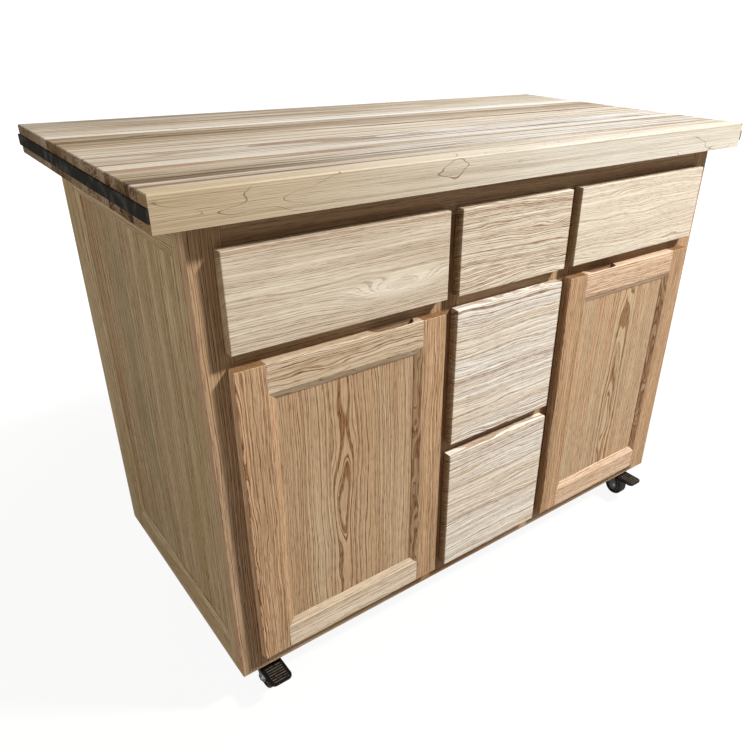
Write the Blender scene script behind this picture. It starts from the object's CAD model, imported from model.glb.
"""Kitchen island: a strip-laminated hardwood top on an oak cabinet with casters, dressed over its frame.

Everything is in metres in the frame's own axes: +X to the right, +Y to the back, +Z up.
"""

import logging
import math
import random
from collections.abc import Callable, Sequence
from dataclasses import dataclass, field, replace
from enum import Enum
from functools import cache

import bmesh
import bpy
from mathutils import Matrix, Vector


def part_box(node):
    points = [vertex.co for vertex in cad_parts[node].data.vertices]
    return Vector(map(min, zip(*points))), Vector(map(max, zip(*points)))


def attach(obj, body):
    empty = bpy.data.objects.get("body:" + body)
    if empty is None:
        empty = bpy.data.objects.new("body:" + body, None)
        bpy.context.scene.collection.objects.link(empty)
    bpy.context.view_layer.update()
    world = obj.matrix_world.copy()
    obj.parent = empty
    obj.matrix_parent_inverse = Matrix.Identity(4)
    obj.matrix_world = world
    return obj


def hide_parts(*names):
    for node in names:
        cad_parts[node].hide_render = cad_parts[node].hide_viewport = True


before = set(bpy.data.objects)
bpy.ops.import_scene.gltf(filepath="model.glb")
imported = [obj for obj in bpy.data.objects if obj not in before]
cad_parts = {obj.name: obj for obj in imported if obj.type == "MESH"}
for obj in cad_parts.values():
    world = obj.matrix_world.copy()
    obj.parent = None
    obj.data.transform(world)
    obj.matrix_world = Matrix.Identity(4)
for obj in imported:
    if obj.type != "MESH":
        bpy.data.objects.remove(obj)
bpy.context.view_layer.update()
LOG = logging.getLogger("island")
# The two colour inputs and the colour output of a Mix node, by number
COLOR_A, COLOR_B, COLOR_OUT = 6, 7, 2

Color = tuple[float, float, float]


# Shader arithmetic


class Sock:
    """A shader socket that takes part in Python arithmetic."""

    def __init__(self, graph: "Graph", socket: bpy.types.NodeSocket) -> None:
        """Wraps one output socket of a graph."""
        self.graph = graph
        self.socket = socket

    def _math(self, operation: str, *others: "Sock | float", swap: bool = False) -> "Sock":
        """Adds one Math node for an operation on this socket and others."""
        values = [*others, self] if swap else [self, *others]
        return self.graph.node("ShaderNodeMath", {"operation": operation}, dict(enumerate(values)))

    def __add__(self, other: "Sock | float") -> "Sock":
        """Sum."""
        return self._math("ADD", other)

    __radd__ = __add__

    def __mul__(self, other: "Sock | float") -> "Sock":
        """Product."""
        return self._math("MULTIPLY", other)

    __rmul__ = __mul__

    def __sub__(self, other: "Sock | float") -> "Sock":
        """Difference."""
        return self._math("SUBTRACT", other)

    def __rsub__(self, other: "Sock | float") -> "Sock":
        """Difference from a number."""
        return self._math("SUBTRACT", other, swap=True)

    def __truediv__(self, other: "Sock | float") -> "Sock":
        """Quotient."""
        return self._math("DIVIDE", other)

    def __abs__(self) -> "Sock":
        """Size without sign."""
        return self._math("ABSOLUTE")

    def unary(self, operation: str) -> "Sock":
        """Any Math operation on this socket alone, such as SQRT, FRACT or FLOOR."""
        return self._math(operation)

    def step(self, low: float, high: float) -> "Sock":
        """A smooth step from 0 at low to 1 at high."""
        settings = {"interpolation_type": "SMOOTHSTEP"}
        return self.graph.node("ShaderNodeMapRange", settings, {0: self, 1: low, 2: high, 3: 0.0, 4: 1.0})


class Graph:
    """One material and the nodes that make it."""

    def __init__(self, name: str) -> None:
        """Starts an empty material."""
        self.material = bpy.data.materials.new(name)
        self.material.use_nodes = True
        self.tree = self.material.node_tree
        self.tree.nodes.clear()

    def make(self, kind: str, settings: dict | None = None, inputs: dict | None = None) -> bpy.types.Node:
        """Adds a node.

        Args:
            kind: The node's type.
            settings: Properties, set first.
            inputs: Values or Socks by input name or number.

        Returns:
            The node.
        """
        node = self.tree.nodes.new(kind)
        for key, value in (settings or {}).items():
            setattr(node, key, value)
        for key, value in (inputs or {}).items():
            if isinstance(value, Sock):
                self.tree.links.new(value.socket, node.inputs[key])
            else:
                node.inputs[key].default_value = value
        return node

    def node(self, kind: str, settings: dict | None = None, inputs: dict | None = None,
             out: int | str = 0) -> Sock:
        """Adds a node and returns one of its outputs."""
        return Sock(self, self.make(kind, settings, inputs).outputs[out])

    def mix(self, factor: Sock | float, a: Sock | Color, b: Sock | Color, blend: str = "MIX") -> Sock:
        """Mixes two colours."""
        ends = [value if isinstance(value, Sock) else (*value, 1.0) for value in (a, b)]
        settings = {"data_type": "RGBA", "blend_type": blend}
        return self.node("ShaderNodeMix", settings, {0: factor, COLOR_A: ends[0], COLOR_B: ends[1]}, COLOR_OUT)

    def vector(self, x: Sock | float, y: Sock | float, z: Sock | float) -> Sock:
        """Joins three values into a vector."""
        return self.node("ShaderNodeCombineXYZ", None, {0: x, 1: y, 2: z})

    def split(self, vector: Sock) -> list[Sock]:
        """The three values of a vector."""
        node = self.make("ShaderNodeSeparateXYZ", None, {0: vector})
        return [Sock(self, socket) for socket in node.outputs]

    def noise(self, vector: Sock, scale: float, detail: float) -> Sock:
        """Smooth noise from 0 to 1."""
        return self.node("ShaderNodeTexNoise", None, {"Vector": vector, "Scale": scale, "Detail": detail})

    def position(self) -> Sock:
        """The point on the piece, in the frame at rest."""
        return self.node("ShaderNodeTexCoord", None, None, "Object")

    def facing(self) -> Sock:
        """The direction the surface faces, in the frame at rest."""
        return self.node("ShaderNodeTexCoord", None, None, "Normal")

    def attribute(self, name: str, out: str) -> Sock:
        """A value that the mesh carries."""
        return self.node("ShaderNodeAttribute", {"attribute_name": name}, None, out)

    def finish(self, color: Sock, rough: Sock, height: Sock, depth: float, **plain: float) -> bpy.types.Material:
        """Ends the material in one Principled shader.

        Args:
            color: Base colour.
            rough: Roughness.
            height: Relief for the bump, from 0 to 1.
            depth: Height of that relief, in metres.
            plain: Values for other sockets, with underscores for spaces.

        Returns:
            The material.
        """
        bump = self.node("ShaderNodeBump", None, {"Height": height, "Distance": depth, "Strength": 1.0})
        inputs = {"Base Color": color, "Roughness": rough, "Normal": bump}
        inputs.update({key.replace("_", " "): value for key, value in plain.items()})
        shader = self.node("ShaderNodeBsdfPrincipled", None, inputs)
        self.make("ShaderNodeOutputMaterial", None, {"Surface": shader})
        return self.material


# Finishes


class Grain(Enum):
    """The axis that a board's grain runs along, and the order that puts it first."""

    X = (0, 1, 2)
    Y = (1, 0, 2)
    Z = (2, 0, 1)


class Tone(Enum):
    """Wood colours, written as they look in plain light."""

    WHITE = (0.88, 0.83, 0.75)
    CREAM = (0.84, 0.74, 0.60)
    MAPLE = (0.76, 0.66, 0.52)
    SAND = (0.62, 0.51, 0.38)
    OAT = (0.59, 0.44, 0.27)
    TAN = (0.52, 0.39, 0.25)
    HONEY = (0.71, 0.53, 0.38)
    GREY = (0.50, 0.42, 0.31)
    WALNUT = (0.19, 0.125, 0.075)
    PINK = (0.57, 0.38, 0.23)
    OAK = (0.47, 0.32, 0.19)
    BROWN = (0.30, 0.18, 0.09)
    CHESTNUT = (0.47, 0.33, 0.21)
    KHAKI = (0.40, 0.31, 0.18)
    OLIVE = (0.46, 0.34, 0.19)
    MOSS = (0.38, 0.30, 0.17)
    UMBER = (0.44, 0.29, 0.16)


# What the dark marks in wood leave of the colour round them
RING_SHADE = (0.46, 0.32, 0.22)
PORE_SHADE = (0.36, 0.24, 0.16)
FIBRE_SHADE = (0.62, 0.55, 0.47)
BAND_SHADE = (0.50, 0.40, 0.31)
THREAD_SHADE = (0.42, 0.32, 0.24)
CURL_SHADE = (0.42, 0.30, 0.21)
END_SHADE = (0.54, 0.45, 0.35)
# Colour that shows where the rings swell
KNOT_TONE = (0.76, 0.70, 0.60)
# Length along the grain and width across it of those marks, in metres
PORE = (0.020, 0.0019)
FIBRE = (0.12, 0.0026)
PATCH = (0.45, 0.035)
BAND = (0.9, 0.011)
THREAD = (0.50, 0.0026)
CURL = (0.11, 0.026)
CURLED_AREA = (0.22, 0.05)
# Where along X a fading board's far tone sets in and is full, in metres
FADE = (-0.68, 0.20)
# Depth of the relief in wood, in metres
WOOD_RELIEF = 0.0003


@dataclass(frozen=True)
class Whorl:
    """A place where the growth rings swell round a knot that lies below the surface.

    Attributes:
        at: Its middle, in the frame at rest.
        size: How far it is felt along X, Y and Z.
        rings: How far it pushes the rings, in metres.
    """

    at: tuple[float, float, float]
    size: tuple[float, float, float]
    rings: float


@dataclass(frozen=True)
class Wood:
    """Ring-porous wood cut from a log: growth rings, pores and fibres, in metres.

    Attributes:
        slot: The record's material slot that the finish belongs to.
        ring: Pitch of the growth rings.
        waver: How far the rings wander.
        reach: Length of that wander along the grain.
        spread: Width of that wander across the grain.
        early: Share of each ring that its dark early wood takes.
        pores: Darkness of the pores.
        fibre: Strength of the fine fibres.
        rough: Roughness.
        gloss: Strength of the sheen.
        fade: Whether a board's far tone lies towards +X and not in patches.
        streaks: Strength of the long dark streaks.
        curls: Strength of the thin curled mineral lines.
        whorls: Places where the rings swell.
        wash: Colour laid over every tone.
        variant: Ending that tells this finish's name from others of its slot.
    """

    slot: str
    ring: float = 0.0060
    waver: float = 0.008
    reach: float = 0.32
    spread: float = 0.06
    early: float = 0.50
    pores: float = 0.55
    fibre: float = 0.40
    rough: float = 0.58
    gloss: float = 0.12
    fade: bool = False
    streaks: float = 0.0
    curls: float = 0.0
    whorls: tuple[Whorl, ...] = ()
    wash: Color = (1.0, 1.0, 1.0)
    variant: str = ""

    @cache
    def material(self, grain: Grain) -> bpy.types.Material:
        """The finish on boards whose grain runs along one axis, made once."""
        graph = Graph(f"{self.slot}{self.variant}_{grain.name.lower()}")
        point = graph.position()
        place = graph.attribute("place", "Vector")
        moved = graph.node("ShaderNodeVectorMath", {"operation": "ADD"}, {0: point, 1: place})
        parts = graph.split(moved)
        along, across, deep = (parts[i] for i in grain.value)

        def figure(size: tuple[float, float], detail: float = 2.0) -> Sock:
            """Noise drawn out along the grain, to a length and width."""
            length, width = size
            vector = graph.vector(along / length, across / width, deep / width)
            return graph.noise(vector, 1.0, detail)

        def darker(color: Sock, factor: Sock | float, share: Color) -> Sock:
            """A colour with some of it taken away where factor is high."""
            return graph.mix(factor, color, graph.mix(1.0, color, share, "MULTIPLY"))

        # Distance from the log's heart, with a broad and a fine wander
        radius = (across * across + deep * deep).unary("SQRT")
        radius = radius + (figure((self.reach, self.spread)) - 0.5) * (2.6 * self.waver)
        radius = radius + (figure((self.reach * 0.25, self.spread * 0.25)) - 0.5) * (0.20 * self.waver)
        knot: Sock | float = 0.0
        for whorl in self.whorls:
            felt = self._swell(graph, point, whorl)
            knot = felt + knot
            radius = radius + felt * whorl.rings

        # Number of rings to that distance, some wider and some narrower, and the dark line in each
        turn = radius / self.ring
        uneven = graph.node("ShaderNodeTexNoise", {"noise_dimensions": "1D"}, {"W": turn * 0.55, "Detail": 1.0})
        turn = turn + uneven * 2.2
        phase = turn.unary("FRACT")
        vigour = graph.node("ShaderNodeTexWhiteNoise", {"noise_dimensions": "1D"}, {"W": turn.unary("FLOOR")})
        line = phase.step(0.0, 0.04) * (1 - phase.step(0.30 * self.early, self.early))
        line = line * (vigour * 0.5 + 0.5)
        pore = figure(PORE, 1.0).step(0.50, 0.62) * (line * 0.7 + 0.3)
        fibre = figure(FIBRE, 3.0).step(0.36, 0.64)

        # The board's two tones, and what darkens them
        tint = graph.attribute("tint", "Color")
        contrast = graph.attribute("tint", "Alpha")
        far = graph.attribute("far", "Color")
        blend = graph.split(point)[0].step(*FADE) if self.fade else figure(PATCH).step(0.35, 0.68)
        color = graph.mix(1.0, graph.mix(blend, tint, far), self.wash, "MULTIPLY")
        color = darker(color, line * contrast, RING_SHADE)
        color = darker(color, pore * contrast * self.pores, PORE_SHADE)
        color = darker(color, fibre * (contrast * 0.7 + 0.3) * self.fibre, FIBRE_SHADE)
        if self.whorls:
            color = graph.mix(knot * 0.45, color, KNOT_TONE)
        if self.streaks:
            band = figure(BAND).step(0.56, 0.63) * contrast * self.streaks
            color = darker(color, band, BAND_SHADE)
            thread = figure(THREAD).step(0.60, 0.64) * contrast * self.streaks
            color = darker(color, thread, THREAD_SHADE)
        if self.curls:
            edge = 1 - abs(figure(CURL, 1.0) - 0.52).step(0.0, 0.008)
            some = figure(CURLED_AREA, 1.0).step(0.46, 0.52)
            color = darker(color, edge * some * (1 - contrast).step(0.3, 0.7) * self.curls, CURL_SHADE)
        end = abs(graph.split(graph.facing())[grain.value[0]]).step(0.6, 0.9)
        color = darker(color, end, END_SHADE)
        rough = pore * 0.12 + (fibre - 0.5) * 0.08 + self.rough
        height = 0.8 - pore * 0.5 - line * 0.2 + fibre * 0.2
        return graph.finish(color, rough, height, WOOD_RELIEF, Specular_IOR_Level=self.gloss)

    @staticmethod
    def _swell(graph: Graph, point: Sock, whorl: Whorl) -> Sock:
        """How strongly one whorl is felt at a point, from 0 to 1."""
        total: Sock | float = 0.0
        for axis, middle, size in zip(graph.split(point), whorl.at, whorl.size):
            offset = (axis - middle) / size
            total = offset * offset + total
        return (total * -1.0).unary("EXPONENT")


@dataclass(frozen=True)
class Metal:
    """Bare or plated metal with faint cloudiness."""

    name: str
    color: Color
    rough: float

    @cache
    def material(self) -> bpy.types.Material:
        """The finish, made once."""
        graph = Graph(self.name)
        point = graph.position()
        cloud = graph.noise(point, 90.0, 3.0)
        rub = graph.noise(point, 900.0, 2.0)
        color = graph.mix(cloud.step(0.3, 0.7), self.color, tuple(0.82 * c for c in self.color))
        return graph.finish(color, cloud * 0.16 + (self.rough - 0.08), rub, 0.00003, Metallic=1.0)


@dataclass(frozen=True)
class Coating:
    """Paint or another dark cover: one colour with dust and handling marks."""

    name: str
    color: Color
    rough: float
    dust: float = 0.15
    grit: float = 0.0001
    ior: float = 1.45

    @cache
    def material(self) -> bpy.types.Material:
        """The finish, made once."""
        graph = Graph(self.name)
        point = graph.position()
        cloud = graph.noise(point, 40.0, 4.0)
        fine = graph.noise(point, 700.0, 2.0)
        dust = cloud.step(0.45, 0.75) * self.dust
        color = graph.mix(dust, self.color, (0.32, 0.29, 0.26))
        return graph.finish(color, dust * 0.5 + self.rough, fine, self.grit, IOR=self.ior)


TOP_WOOD = Wood("top_wood", ring=0.0070, waver=0.005, reach=0.60, early=0.6, pores=0.2, fibre=0.45, rough=0.52,
                gloss=0.04, fade=True, streaks=1.3, curls=1.0, wash=(0.77, 0.81, 0.85))
FRAME_WOOD = Wood("frame_wood", ring=0.0048, waver=0.006, spread=0.04, pores=0.7)
SIDE_WOOD = Wood("side_wood", ring=0.0070, waver=0.006, early=0.70, pores=0.7, fibre=0.6,
                 wash=(1.06, 1.12, 1.12))
DOOR_WOOD = Wood("door_wood", ring=0.0050, waver=0.006, reach=0.15, spread=0.035, pores=0.75, fibre=0.5)
PANEL_WOOD = Wood("panel_wood", ring=0.0062, waver=0.009, reach=0.34, spread=0.07, pores=0.8)
FRONT_WOOD = Wood("front_wood", ring=0.0066, waver=0.013, reach=0.26, spread=0.05, early=0.65, pores=0.6,
                  wash=(0.91, 0.93, 0.95))
INNER_WOOD = Wood("inner_wood", ring=0.0060, waver=0.010, pores=0.25, rough=0.6)
ZINC = Metal("bright_zinc", (0.62, 0.66, 0.72), 0.30)
SLIDE_STEEL = Metal("rolled_steel", (0.60, 0.61, 0.62), 0.36)
RECESS = Coating("screw_recess", (0.05, 0.05, 0.05), 0.5)
BAR_PAINT = Coating("charcoal_paint", (0.026, 0.024, 0.021), 0.8, 0.20, 0.0005, 1.04)


# Boards


@dataclass(frozen=True)
class Board:
    """How one board was cut and how it looks.

    Attributes:
        tone: Main colour.
        far: Colour at the far end or in patches.
        contrast: Strength of its ring lines.
        pith: From the log's heart to the board's middle, across and through the grain axes.
        slip: How far along the log it was cut.
    """

    tone: Tone
    far: Tone
    contrast: float
    pith: tuple[float, float]
    slip: float


# Keeps one log's random seeds clear of the next log's
SEED_STEP = 1009
# Widths of the rounded corners, in metres
ROUND, SLIGHT_ROUND, FRONT_ROUND, PEDAL_ROUND = 0.0009, 0.0004, 0.0015, 0.0005
# Corners sharper than this are rounded, in degrees
CORNER_ANGLE = 35.0
# Faces that turn less than this from each other become one, in degrees
FLAT_ANGLE = 0.4
# Points nearer than this to each other become one, in metres
WELD = 2e-6


def sawn(tones: Sequence[Tone], far: Tone, seed: int, contrast: float, flat: float = 0.09) -> Callable[[int], Board]:
    """A rule that cuts any number of boards from the same kind of log.

    Args:
        tones: Main colours, drawn from by chance.
        far: Second colour.
        seed: Fixes the choice.
        contrast: Strength of the ring lines.
        flat: Distance of the log's heart behind a board's face.

    Returns:
        A function from a board's number to the board.
    """
    def cut(number: int) -> Board:
        """The board of that number."""
        draw = random.Random(seed * SEED_STEP + number)
        pith = (draw.uniform(-0.05, 0.05), flat * draw.uniform(0.7, 1.3))
        tone = draw.choice(tones)
        return Board(tone, far, contrast * draw.uniform(0.8, 1.15), pith, draw.uniform(-3.0, 3.0))

    return cut


def loose_parts(mesh: bmesh.types.BMesh) -> list[list[bmesh.types.BMFace]]:
    """The mesh's separate solids as lists of faces."""
    mesh.faces.ensure_lookup_table()
    seen: set[int] = set()
    parts = []
    for start in mesh.faces:
        if start.index in seen:
            continue
        seen.add(start.index)
        part, queue = [], [start]
        while queue:
            face = queue.pop()
            part.append(face)
            for edge in face.edges:
                for near in edge.link_faces:
                    if near.index not in seen:
                        seen.add(near.index)
                        queue.append(near)
        parts.append(part)
    return parts


def softened(node: str, width: float) -> bmesh.types.BMesh:
    """A copy of a CAD node with its outer corners rounded off.

    Args:
        node: The CAD node.
        width: Width of the rounding, or 0 for none.

    Returns:
        The new mesh.
    """
    mesh = bmesh.new()
    mesh.from_mesh(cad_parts[node].data)
    bmesh.ops.remove_doubles(mesh, verts=mesh.verts, dist=WELD)
    bmesh.ops.dissolve_limit(mesh, angle_limit=math.radians(FLAT_ANGLE), verts=mesh.verts, edges=mesh.edges)
    if width > 0:
        corners = [edge for edge in mesh.edges
                   if len(edge.link_faces) == 2 and edge.is_convex
                   and edge.calc_face_angle(0.0) > math.radians(CORNER_ANGLE)]
        bmesh.ops.bevel(mesh, geom=corners, offset=width, segments=2, profile=0.5, affect="EDGES",
                        clamp_overlap=True)
    bmesh.ops.triangulate(mesh, faces=[face for face in mesh.faces if len(face.verts) > 4])
    for face in mesh.faces:
        face.smooth = False
    return mesh


def as_object(name: str, mesh: bmesh.types.BMesh) -> bpy.types.Object:
    """Turns a finished mesh into an object in the scene, without the normals that a CAD mesh brings along."""
    data = bpy.data.meshes.new(name)
    mesh.to_mesh(data)
    mesh.free()
    brought = data.attributes.get("custom_normal")
    if brought:
        data.attributes.remove(brought)
    thing = bpy.data.objects.new(name, data)
    bpy.context.scene.collection.objects.link(thing)
    return thing


def write_faces(data: bpy.types.Mesh, name: str, kind: str, field_name: str, values: Sequence[float]) -> None:
    """Writes one attribute of a mesh, a value for every face."""
    data.attributes.new(name, kind, "FACE").data.foreach_set(field_name, values)


def dress_boards(name: str, node: str, body: str, wood: Wood, cut: Callable[[int], Board],
                 grain: Grain | None = None, round_off: float = ROUND,
                 order: Callable[[Vector], float] = lambda middle: middle.x) -> None:
    """Replaces a node of boards by softened ones that each have their own grain and tone.

    Args:
        name: The new piece's name.
        node: The CAD node.
        body: The body it rides on.
        wood: The finish.
        cut: From a board's number to how it was cut.
        grain: The grain's axis, or None for each board's longest side.
        round_off: Width of the rounded corners.
        order: Sorts the boards by their middles.
    """
    mesh = softened(node, round_off)
    parts = []
    for faces in loose_parts(mesh):
        points = [vert.co for face in faces for vert in face.verts]
        low = Vector([min(p[i] for p in points) for i in range(3)])
        high = Vector([max(p[i] for p in points) for i in range(3)])
        parts.append((faces, (low + high) / 2, high - low))
    parts.sort(key=lambda part: (round(order(part[1]), 4), round(part[1].z, 4), round(part[1].y, 4)))
    rows: dict[int, tuple[Board, Vector, int]] = {}
    axes = list(Grain)
    for number, (faces, middle, size) in enumerate(parts):
        board = cut(number)
        axis = grain or axes[max(range(3), key=lambda i: size[i])]
        place = -middle
        first, second, third = axis.value
        place[first] += board.slip
        place[second] += board.pith[0]
        place[third] += board.pith[1]
        for face in faces:
            rows[face.index] = (board, place, axes.index(axis))
    count = len(mesh.faces)
    piece = as_object(name, mesh)
    data = piece.data
    for axis in axes:
        data.materials.append(wood.material(axis))
    ordered = [rows[index] for index in range(count)]
    write_faces(data, "tint", "FLOAT_COLOR", "color",
                [value for board, _, _ in ordered for value in (*board.tone.value, board.contrast)])
    write_faces(data, "far", "FLOAT_COLOR", "color",
                [value for board, _, _ in ordered for value in (*board.far.value, 1.0)])
    write_faces(data, "place", "FLOAT_VECTOR", "vector", [value for _, place, _ in ordered for value in place])
    data.polygons.foreach_set("material_index", [slot for _, _, slot in ordered])
    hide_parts(node)
    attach(piece, body)


def paint(node: str, material: bpy.types.Material) -> None:
    """Gives a CAD node one finish."""
    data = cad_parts[node].data
    data.materials.clear()
    data.materials.append(material)


# Screws, set on points by Geometry Nodes


# Number of sides of a screw's head
HEAD_SIDES = 16
# The head's top and the length and width of its recess's bars, as shares of its radius
HEAD_TOP, BAR_LENGTH, BAR_WIDTH = 0.62, 0.95, 0.2
# The bars' depth and the height of their middle, as shares of the head's height
BAR_DEPTH, BAR_MIDDLE = 0.3, 0.88


@dataclass
class Screws:
    """Pan-head screws on one body, each given by its seat and the way its head faces."""

    name: str
    body: str
    radius: float = 0.0035
    height: float = 0.0018
    seats: list[tuple[Vector, Vector]] = field(default_factory=list)

    def add(self, seat: Sequence[float], facing: Sequence[float]) -> None:
        """Adds one screw."""
        self.seats.append((Vector(seat), Vector(facing)))

    @staticmethod
    def tree() -> bpy.types.NodeTree:
        """The tree that sets a screw head with a cross recess on every point, made once."""
        found = bpy.data.node_groups.get("pan_head_screws")
        if found:
            return found
        tree = bpy.data.node_groups.new("pan_head_screws", "GeometryNodeTree")
        face = tree.interface
        face.new_socket("Geometry", in_out="INPUT", socket_type="NodeSocketGeometry")
        for label in ("Head Radius", "Head Height"):
            face.new_socket(label, in_out="INPUT", socket_type="NodeSocketFloat")
        for label in ("Head Finish", "Recess Finish"):
            face.new_socket(label, in_out="INPUT", socket_type="NodeSocketMaterial")
        face.new_socket("Geometry", in_out="OUTPUT", socket_type="NodeSocketGeometry")

        def add(kind: str, inputs: dict | None = None, **settings: object) -> bpy.types.Node:
            """One node with its settings, values and links."""
            node = tree.nodes.new(kind)
            for key, value in settings.items():
                setattr(node, key, value)
            for key, value in (inputs or {}).items():
                if isinstance(value, bpy.types.NodeSocket):
                    tree.links.new(value, node.inputs[key])
                else:
                    node.inputs[key].default_value = value
            return node

        def scaled(value: bpy.types.NodeSocket, factor: float) -> bpy.types.NodeSocket:
            """A value times a number."""
            return add("ShaderNodeMath", {0: value, 1: factor}, operation="MULTIPLY").outputs[0]

        given = add("NodeGroupInput").outputs
        radius, height = given["Head Radius"], given["Head Height"]
        head = add("GeometryNodeMeshCone", {"Vertices": HEAD_SIDES, "Radius Top": scaled(radius, HEAD_TOP),
                                            "Radius Bottom": radius, "Depth": height})
        joined = [head.outputs["Mesh"]]
        for long_x in (True, False):
            long_side, short_side = scaled(radius, BAR_LENGTH), scaled(radius, BAR_WIDTH)
            sides = (long_side, short_side) if long_x else (short_side, long_side)
            size = add("ShaderNodeCombineXYZ", {0: sides[0], 1: sides[1], 2: scaled(height, BAR_DEPTH)}).outputs[0]
            bar = add("GeometryNodeMeshCube", {"Size": size})
            lift = add("ShaderNodeCombineXYZ", {2: scaled(height, BAR_MIDDLE)}).outputs[0]
            moved = add("GeometryNodeTransform", {"Geometry": bar.outputs["Mesh"], "Translation": lift})
            marked = add("GeometryNodeStoreNamedAttribute", {"Geometry": moved.outputs[0], "Name": "recess",
                                                             "Value": True}, data_type="BOOLEAN", domain="FACE")
            joined.append(marked.outputs[0])
        join = add("GeometryNodeJoinGeometry")
        for part in joined:
            tree.links.new(part, join.inputs[0])
        way = add("GeometryNodeInputNamedAttribute", {"Name": "facing"}, data_type="FLOAT_VECTOR")
        turn = add("FunctionNodeAlignRotationToVector", {"Vector": way.outputs["Attribute"]}, axis="Z")
        points = add("GeometryNodeMeshToPoints", {"Mesh": given["Geometry"]})
        placed = add("GeometryNodeInstanceOnPoints", {"Points": points.outputs[0], "Instance": join.outputs[0],
                                                      "Rotation": turn.outputs[0]})
        real = add("GeometryNodeRealizeInstances", {"Geometry": placed.outputs[0]})
        plated = add("GeometryNodeSetMaterial", {"Geometry": real.outputs[0], "Material": given["Head Finish"]})
        recess = add("GeometryNodeInputNamedAttribute", {"Name": "recess"}, data_type="BOOLEAN")
        real = add("GeometryNodeSetMaterial", {"Geometry": plated.outputs[0], "Material": given["Recess Finish"],
                                               "Selection": recess.outputs["Attribute"]})
        add("NodeGroupOutput", {"Geometry": real.outputs[0]})
        return tree

    def build(self) -> None:
        """Makes the screws one plain mesh on their body."""
        data = bpy.data.meshes.new(self.name)
        data.from_pydata([seat for seat, _ in self.seats], [], [])
        facing = data.attributes.new("facing", "FLOAT_VECTOR", "POINT")
        for item, (_, way) in zip(facing.data, self.seats):
            item.vector = way
        thing = bpy.data.objects.new(self.name, data)
        bpy.context.scene.collection.objects.link(thing)
        modifier = thing.modifiers.new("screws", "NODES")
        modifier.node_group = self.tree()
        values = {"Head Radius": self.radius, "Head Height": self.height,
                  "Head Finish": ZINC.material(), "Recess Finish": RECESS.material()}
        for item in modifier.node_group.interface.items_tree:
            if item.in_out == "INPUT" and item.name in values:
                modifier[item.identifier] = values[item.name]
        depsgraph = bpy.context.evaluated_depsgraph_get()
        mesh = bpy.data.meshes.new_from_object(thing.evaluated_get(depsgraph))
        thing.modifiers.clear()
        thing.data = mesh
        bpy.data.meshes.remove(data)
        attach(thing, self.body)


# The island's parts


@dataclass
class ButcherBlock:
    """The top: long hardwood strips, each fading from its left tone to its right tone."""

    strips: tuple[Board, ...] = (
        Board(Tone.OAT, Tone.CREAM, 0.22, (0.02, 0.10), 0.3),
        Board(Tone.SAND, Tone.CREAM, 0.8, (0.03, 0.08), 1.1),
        Board(Tone.WALNUT, Tone.MAPLE, 1.2, (0.05, 0.05), 2.0),
        Board(Tone.KHAKI, Tone.WHITE, 1.2, (-0.02, 0.07), 0.9),
        Board(Tone.SAND, Tone.WHITE, 0.7, (0.04, 0.03), 1.7),
        Board(Tone.UMBER, Tone.CREAM, 1.4, (0.02, 0.06), 2.6),
        Board(Tone.MAPLE, Tone.WHITE, 0.6, (-0.04, 0.04), 0.5),
        Board(Tone.SAND, Tone.WHITE, 1.0, (0.03, 0.09), 1.4),
        Board(Tone.SAND, Tone.WHITE, 1.1, (0.01, 0.08), 2.2),
        Board(Tone.MAPLE, Tone.CREAM, 0.7, (0.05, 0.02), 3.1),
        Board(Tone.SAND, Tone.CREAM, 0.8, (-0.03, 0.08), 0.7),
        Board(Tone.TAN, Tone.CREAM, 1.1, (0.02, 0.07), 1.9),
        Board(Tone.KHAKI, Tone.SAND, 1.2, (-0.04, 0.10), 2.9),
        Board(Tone.TAN, Tone.MAPLE, 1.0, (0.03, 0.05), 0.2),
        Board(Tone.MAPLE, Tone.WHITE, 0.5, (0.01, 0.06), 1.2),
        Board(Tone.SAND, Tone.MAPLE, 0.6, (0.05, 0.05), 2.4),
        Board(Tone.SAND, Tone.MAPLE, 0.8, (-0.03, 0.09), 0.6),
        Board(Tone.GREY, Tone.SAND, 0.7, (0.02, 0.11), 1.6),
    )

    def build(self) -> None:
        """Dresses the strips and the bars on their ends."""
        dress_boards("butcher_block", "top_strips", "cabinet", TOP_WOOD, lambda i: self.strips[i], Grain.X,
                     SLIGHT_ROUND, order=lambda middle: middle.y)
        paint("end_bars", BAR_PAINT.material())


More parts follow.
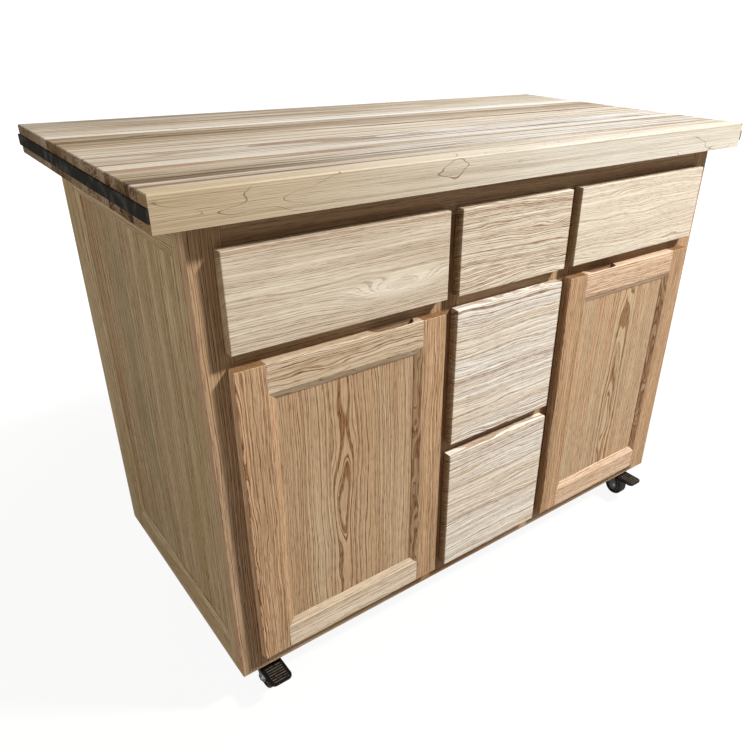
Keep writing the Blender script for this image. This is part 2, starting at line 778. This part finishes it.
@dataclass
class Cabinet:
    """The face frame, the framed sides and back, and everything fixed inside them."""

    stile_boards: tuple[Board, ...] = (
        Board(Tone.OAK, Tone.CHESTNUT, 1.2, (0.06, 0.05), 0.4),
        Board(Tone.BROWN, Tone.OAK, 0.9, (0.03, 0.07), 1.3),
        Board(Tone.BROWN, Tone.OAK, 0.9, (0.05, 0.06), 2.1),
        Board(Tone.OAK, Tone.PINK, 1.1, (0.04, 0.06), 2.8),
    )

    @staticmethod
    def by_side(middle: Vector) -> float:
        """Puts the left side's planks first, and each side's in order from front to back."""
        return round(middle.x) * 10 + middle.y

    def build(self) -> None:
        """Dresses every fixed node under the top."""
        dress_boards("frame_uprights", "face_frame_stiles", "cabinet", FRAME_WOOD, lambda i: self.stile_boards[i],
                     Grain.Z)
        dress_boards("frame_cross_rails", "face_frame_rails", "cabinet", FRAME_WOOD,
                     sawn([Tone.CHESTNUT], Tone.BROWN, 3, 0.9), Grain.X, order=lambda middle: middle.z)
        side = sawn([Tone.OLIVE], Tone.TAN, 5, 1.1)
        dress_boards("side_uprights", "side_stiles", "cabinet", SIDE_WOOD, side, Grain.Z)
        dress_boards("side_cross_rails", "side_rails", "cabinet", SIDE_WOOD, side, Grain.Y)
        dress_boards("side_planks", "side_panels", "cabinet", SIDE_WOOD,
                     sawn([Tone.OLIVE, Tone.MOSS, Tone.UMBER], Tone.TAN, 8, 1.2, 0.05), Grain.Z, SLIGHT_ROUND,
                     order=self.by_side)
        dress_boards("back_uprights", "back_stiles", "cabinet", SIDE_WOOD, side, Grain.Z)
        dress_boards("back_cross_rails", "back_rails", "cabinet", SIDE_WOOD, side, Grain.X)
        dress_boards("back_fields", "back_panels", "cabinet", SIDE_WOOD, sawn([Tone.OLIVE], Tone.OAK, 9, 0.9),
                     Grain.Z, SLIGHT_ROUND)
        inner = sawn([Tone.SAND], Tone.MAPLE, 11, 0.5)
        for name, node in (("upright_partitions", "partitions"), ("cabinet_floor", "bottom_panel"),
                           ("top_stretcher_boards", "top_stretchers"), ("cleats_and_blocks", "support_blocks"),
                           ("shelf_boards", "shelves")):
            dress_boards(name, node, "cabinet", INNER_WOOD, inner)
        for node in ("shelf_pins", "slide_cabinet_members", "hinge_plates"):
            paint(node, SLIDE_STEEL.material())
        for node in ("caster_plates", "caster_screws"):
            paint(node, ZINC.material())


@dataclass
class Door:
    """One framed door with its hinge cups and links."""

    side: str
    stiles: tuple[Board, Board]
    rails: tuple[Board, Board]
    panel: Board

    def build(self) -> None:
        """Dresses the door's boards and its hinges."""
        body = f"{self.side}_door"
        dress_boards(f"{body}_uprights", f"{body}_stiles", body, DOOR_WOOD, lambda i: self.stiles[i], Grain.Z)
        dress_boards(f"{body}_cross_rails", f"{body}_rails", body, DOOR_WOOD, lambda i: self.rails[i], Grain.X,
                     order=lambda middle: middle.z)
        dress_boards(f"{body}_field", f"{body}_panel", body, PANEL_WOOD, lambda i: self.panel, Grain.Z, 0.0)
        for node in (f"{self.side}_hinge_cups", f"{self.side}_hinge_links"):
            paint(node, SLIDE_STEEL.material())


@dataclass
class Drawer:
    """One drawer: its slab front, its box, its runners and the slides between them and the cabinet.

    Attributes:
        name: Its place in the cabinet.
        board: How its front was cut.
        wood: Its front's finish.
        side_inset: From the box's sides to the screws.
        edge_inset: From the box's upper and lower edges to the screws.
        end_thickness: Thickness of the box's end that the screws go through.
    """

    name: str
    board: Board
    wood: Wood
    side_inset: float = 0.045
    edge_inset: float = 0.030
    end_thickness: float = 0.012

    def build(self) -> None:
        """Dresses the drawer and puts in the screws that hold its front."""
        node = f"{self.name}_drawer"
        dress_boards(f"{node}_slab", f"{node}_front", node, self.wood, lambda i: self.board, Grain.X, FRONT_ROUND)
        seed = len(self.name) + 20
        dress_boards(f"{node}_case", f"{node}_box", node, INNER_WOOD, sawn([Tone.MAPLE], Tone.CREAM, seed, 0.4))
        for part in ("runners", "slides"):
            paint(f"{node}_{part}", SLIDE_STEEL.material())
        low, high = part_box(f"{node}_box")
        screws = Screws(f"{node}_front_screws", node)
        for x in (low[0] + self.side_inset, high[0] - self.side_inset):
            for z in (low[2] + self.edge_inset, high[2] - self.edge_inset):
                screws.add((x, low[1] + self.end_thickness, z), (0, 1, 0))
        screws.build()


# How far below a pedal's top its wear sets in and is full, in metres
RIB_WEAR = (0.0007, 0.0003)
# Radii between which a wheel's hub gives way to its tyre, in metres
HUB_EDGE = (0.0186, 0.0192)
# Pitch of the faint rings round a wheel's middle, in metres
RING_PITCH = 0.0032


@dataclass
class Caster:
    """One swivel caster: zinc fork, rubber-tyred wheel and, at the front, a ribbed brake pedal."""

    place: str
    braked: bool

    def build(self) -> None:
        """Dresses the caster's nodes."""
        paint(f"{self.place}_fork", ZINC.material())
        paint(f"{self.place}_wheel", self.wheel_finish())
        if self.braked:
            pedal = softened(f"{self.place}_pedal", PEDAL_ROUND)
            piece = as_object(f"{self.place}_tread_pedal", pedal)
            piece.data.materials.append(self.pedal_finish())
            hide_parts(f"{self.place}_pedal")
            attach(piece, f"{self.place}_brake")

    def pedal_finish(self) -> bpy.types.Material:
        """Black nylon, scuffed paler on the tops of its ribs."""
        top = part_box(f"{self.place}_pedal")[1][2]
        graph = Graph(f"{self.place}_pedal_finish")
        point = graph.position()
        scuff = graph.noise(point, 160.0, 3.0)
        low, high = (top - depth for depth in RIB_WEAR)
        worn = graph.split(point)[2].step(low, high) * scuff.step(0.25, 0.60)
        color = graph.mix(worn, (0.007, 0.006, 0.005), (0.095, 0.072, 0.052))
        return graph.finish(color, worn * 0.2 + 0.32, scuff, 0.0001, IOR=1.25)

    def wheel_finish(self) -> bpy.types.Material:
        """Black tyre round a dark grey hub, told apart by the distance from the axle."""
        low, high = (Vector(corner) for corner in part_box(f"{self.place}_wheel"))
        middle = (low + high) / 2
        graph = Graph(f"{self.place}_wheel_finish")
        _, y, z = graph.split(graph.position())
        y, z = y - middle.y, z - middle.z
        radius = (y * y + z * z).unary("SQRT")
        scuff = graph.noise(graph.position(), 130.0, 3.0)
        groove = (radius / RING_PITCH).unary("FRACT").step(0.55, 0.75)
        hub = graph.mix(scuff, (0.075, 0.068, 0.060), (0.15, 0.13, 0.11))
        tyre = graph.mix(scuff.step(0.4, 0.8), (0.018, 0.016, 0.014), (0.08, 0.066, 0.052))
        color = graph.mix(radius.step(*HUB_EDGE), hub, tyre)
        color = graph.mix(groove * 0.6, color, (0.012, 0.010, 0.009))
        return graph.finish(color, scuff * 0.2 + 0.42, scuff, 0.0001)


@dataclass
class Studio:
    """Pale floor, soft lights and the camera."""

    place: tuple[float, float, float] = (-0.8520, -1.0905, 1.0896)
    azimuth: float = 38.93
    tilt: float = -28.99
    roll: float = 1.63
    lens: float = 33.69
    shift: tuple[float, float] = (-0.0592, 0.0354)
    ambient: float = 0.16
    warmth: Color = (1.0, 0.95, 0.86)

    def build(self) -> None:
        """Adds the camera, the lights, the world and the floor."""
        self.add_camera()
        self.add_light("key", (3.10, -2.90, 4.60), (0.0, -0.2, 0.5), size=0.6, power=620.0)
        self.add_light("fill", (-3.2, -0.6, 1.6), (0.0, 0.0, 0.4), size=1.6, power=42.0)
        self.add_light("rear", (0.6, 3.4, 0.46), (0.0, 0.0, 0.4), size=0.8, power=75.0)
        self.add_world()
        self.add_floor()
        scene = bpy.context.scene
        scene.view_settings.view_transform = "Standard"

    def add_camera(self) -> None:
        """The photograph's viewpoint."""
        data = bpy.data.cameras.new("camera")
        data.lens = self.lens
        data.shift_x, data.shift_y = self.shift
        camera = bpy.data.objects.new("camera", data)
        turn = (Matrix.Rotation(math.radians(-self.azimuth), 4, "Z")
                @ Matrix.Rotation(math.radians(90 + self.tilt), 4, "X")
                @ Matrix.Rotation(math.radians(self.roll), 4, "Z"))
        camera.matrix_world = Matrix.Translation(self.place) @ turn
        bpy.context.scene.collection.objects.link(camera)
        bpy.context.scene.camera = camera

    @staticmethod
    def add_light(name: str, place: Sequence[float], aim: Sequence[float], size: float, power: float) -> None:
        """One soft square lamp."""
        data = bpy.data.lights.new(name, "AREA")
        data.size = size
        data.energy = power
        lamp = bpy.data.objects.new(name, data)
        lamp.location = place
        way = Vector(aim) - Vector(place)
        lamp.rotation_euler = way.to_track_quat("-Z", "Y").to_euler()
        bpy.context.scene.collection.objects.link(lamp)

    def add_world(self) -> None:
        """White to the camera and in reflections, a plain grey light otherwise."""
        world = bpy.data.worlds.new("studio")
        world.use_nodes = True
        tree = world.node_tree
        tree.nodes.clear()
        path = tree.nodes.new("ShaderNodeLightPath")
        seen = tree.nodes.new("ShaderNodeMath")
        seen.operation = "MAXIMUM"
        tree.links.new(path.outputs["Is Camera Ray"], seen.inputs[0])
        tree.links.new(path.outputs["Is Glossy Ray"], seen.inputs[1])
        both = tree.nodes.new("ShaderNodeMath")
        both.operation = "MAXIMUM"
        tree.links.new(seen.outputs[0], both.inputs[0])
        tree.links.new(path.outputs["Is Transmission Ray"], both.inputs[1])
        light = tree.nodes.new("ShaderNodeMix")
        light.data_type = "RGBA"
        light.inputs[COLOR_A].default_value = (*(self.ambient * c for c in self.warmth), 1.0)
        light.inputs[COLOR_B].default_value = (1.0, 1.0, 1.0, 1.0)
        tree.links.new(both.outputs[0], light.inputs[0])
        back = tree.nodes.new("ShaderNodeBackground")
        tree.links.new(light.outputs[COLOR_OUT], back.inputs["Color"])
        out = tree.nodes.new("ShaderNodeOutputWorld")
        tree.links.new(back.outputs[0], out.inputs["Surface"])
        bpy.context.scene.world = world

    @staticmethod
    def add_floor() -> None:
        """A wide pale floor that keeps a light shadow."""
        mesh = bmesh.new()
        bmesh.ops.create_grid(mesh, x_segments=1, y_segments=1, size=14.0)
        floor = as_object("floor", mesh)
        graph = Graph("floor")
        path = graph.make("ShaderNodeLightPath")
        seen = Sock(graph, path.outputs["Is Camera Ray"])
        x, y, _ = graph.split(graph.position())
        away = (x * x + y * y).unary("SQRT").step(0.9, 2.2)
        diffuse = graph.node("ShaderNodeBsdfDiffuse", None, {"Color": (0.32, 0.30, 0.27, 1.0)})
        glow = graph.node("ShaderNodeEmission", None, {"Color": (1.0, 1.0, 1.0, 1.0), "Strength": 1.15})
        mixed = graph.node("ShaderNodeMixShader", None, {0: seen * (away * 0.2 + 0.8), 1: diffuse, 2: glow})
        graph.make("ShaderNodeOutputMaterial", None, {"Surface": mixed})
        floor.data.materials.append(graph.material)


def doors() -> list[Door]:
    """The two doors."""
    warm = Board(Tone.PINK, Tone.OAK, 1.2, (0.05, 0.05), 0.2)
    pale = Board(Tone.SAND, Tone.TAN, 1.0, (0.07, 0.03), 1.0)
    cream = Board(Tone.SAND, Tone.MAPLE, 0.9, (0.05, 0.06), 2.2)
    honey = Board(Tone.HONEY, Tone.HONEY, 1.1, (0.05, 0.07), 0.4)
    left = Door("left", (warm, replace(warm, slip=1.7)), (cream, pale),
                Board(Tone.OAK, Tone.TAN, 1.1, (0.012, 0.06), 0.9))
    right = Door("right", (replace(warm, slip=2.4), replace(warm, slip=3.3)), (honey, replace(honey, slip=2.9)),
                 Board(Tone.TAN, Tone.PINK, 1.1, (-0.01, 0.05), 2.6))
    return [left, right]


def drawers() -> list[Drawer]:
    """The five drawers."""
    swirl = Whorl((-0.245, -0.287, 0.728), (0.080, 0.05, 0.016), 0.026)
    return [
        Drawer("left", Board(Tone.SAND, Tone.MAPLE, 0.65, (0.08, 0.12), 0.6),
               replace(FRONT_WOOD, variant="_whorled", waver=0.007, whorls=(swirl,))),
        Drawer("centre_top", Board(Tone.CREAM, Tone.MAPLE, 1.2, (0.05, 0.14), 1.5), FRONT_WOOD),
        Drawer("right", Board(Tone.MAPLE, Tone.CREAM, 0.65, (0.06, 0.12), 2.3), FRONT_WOOD),
        Drawer("centre_middle", Board(Tone.CREAM, Tone.WHITE, 1.1, (0.06, 0.20), 3.0), FRONT_WOOD),
        Drawer("centre_bottom", Board(Tone.CREAM, Tone.WHITE, 1.1, (0.07, 0.22), 0.1), FRONT_WOOD),
    ]


def main() -> None:
    """Builds the island and the studio."""
    logging.basicConfig(level=logging.INFO, format="%(message)s")
    Studio().build()
    casters = [Caster(f"{end}_{side}", end == "front") for end in ("front", "rear") for side in ("left", "right")]
    for part in (ButcherBlock(), Cabinet(), *doors(), *drawers(), *casters):
        part.build()
        LOG.info("built %s", part.__class__.__name__)


if __name__ == "__main__":
    main()
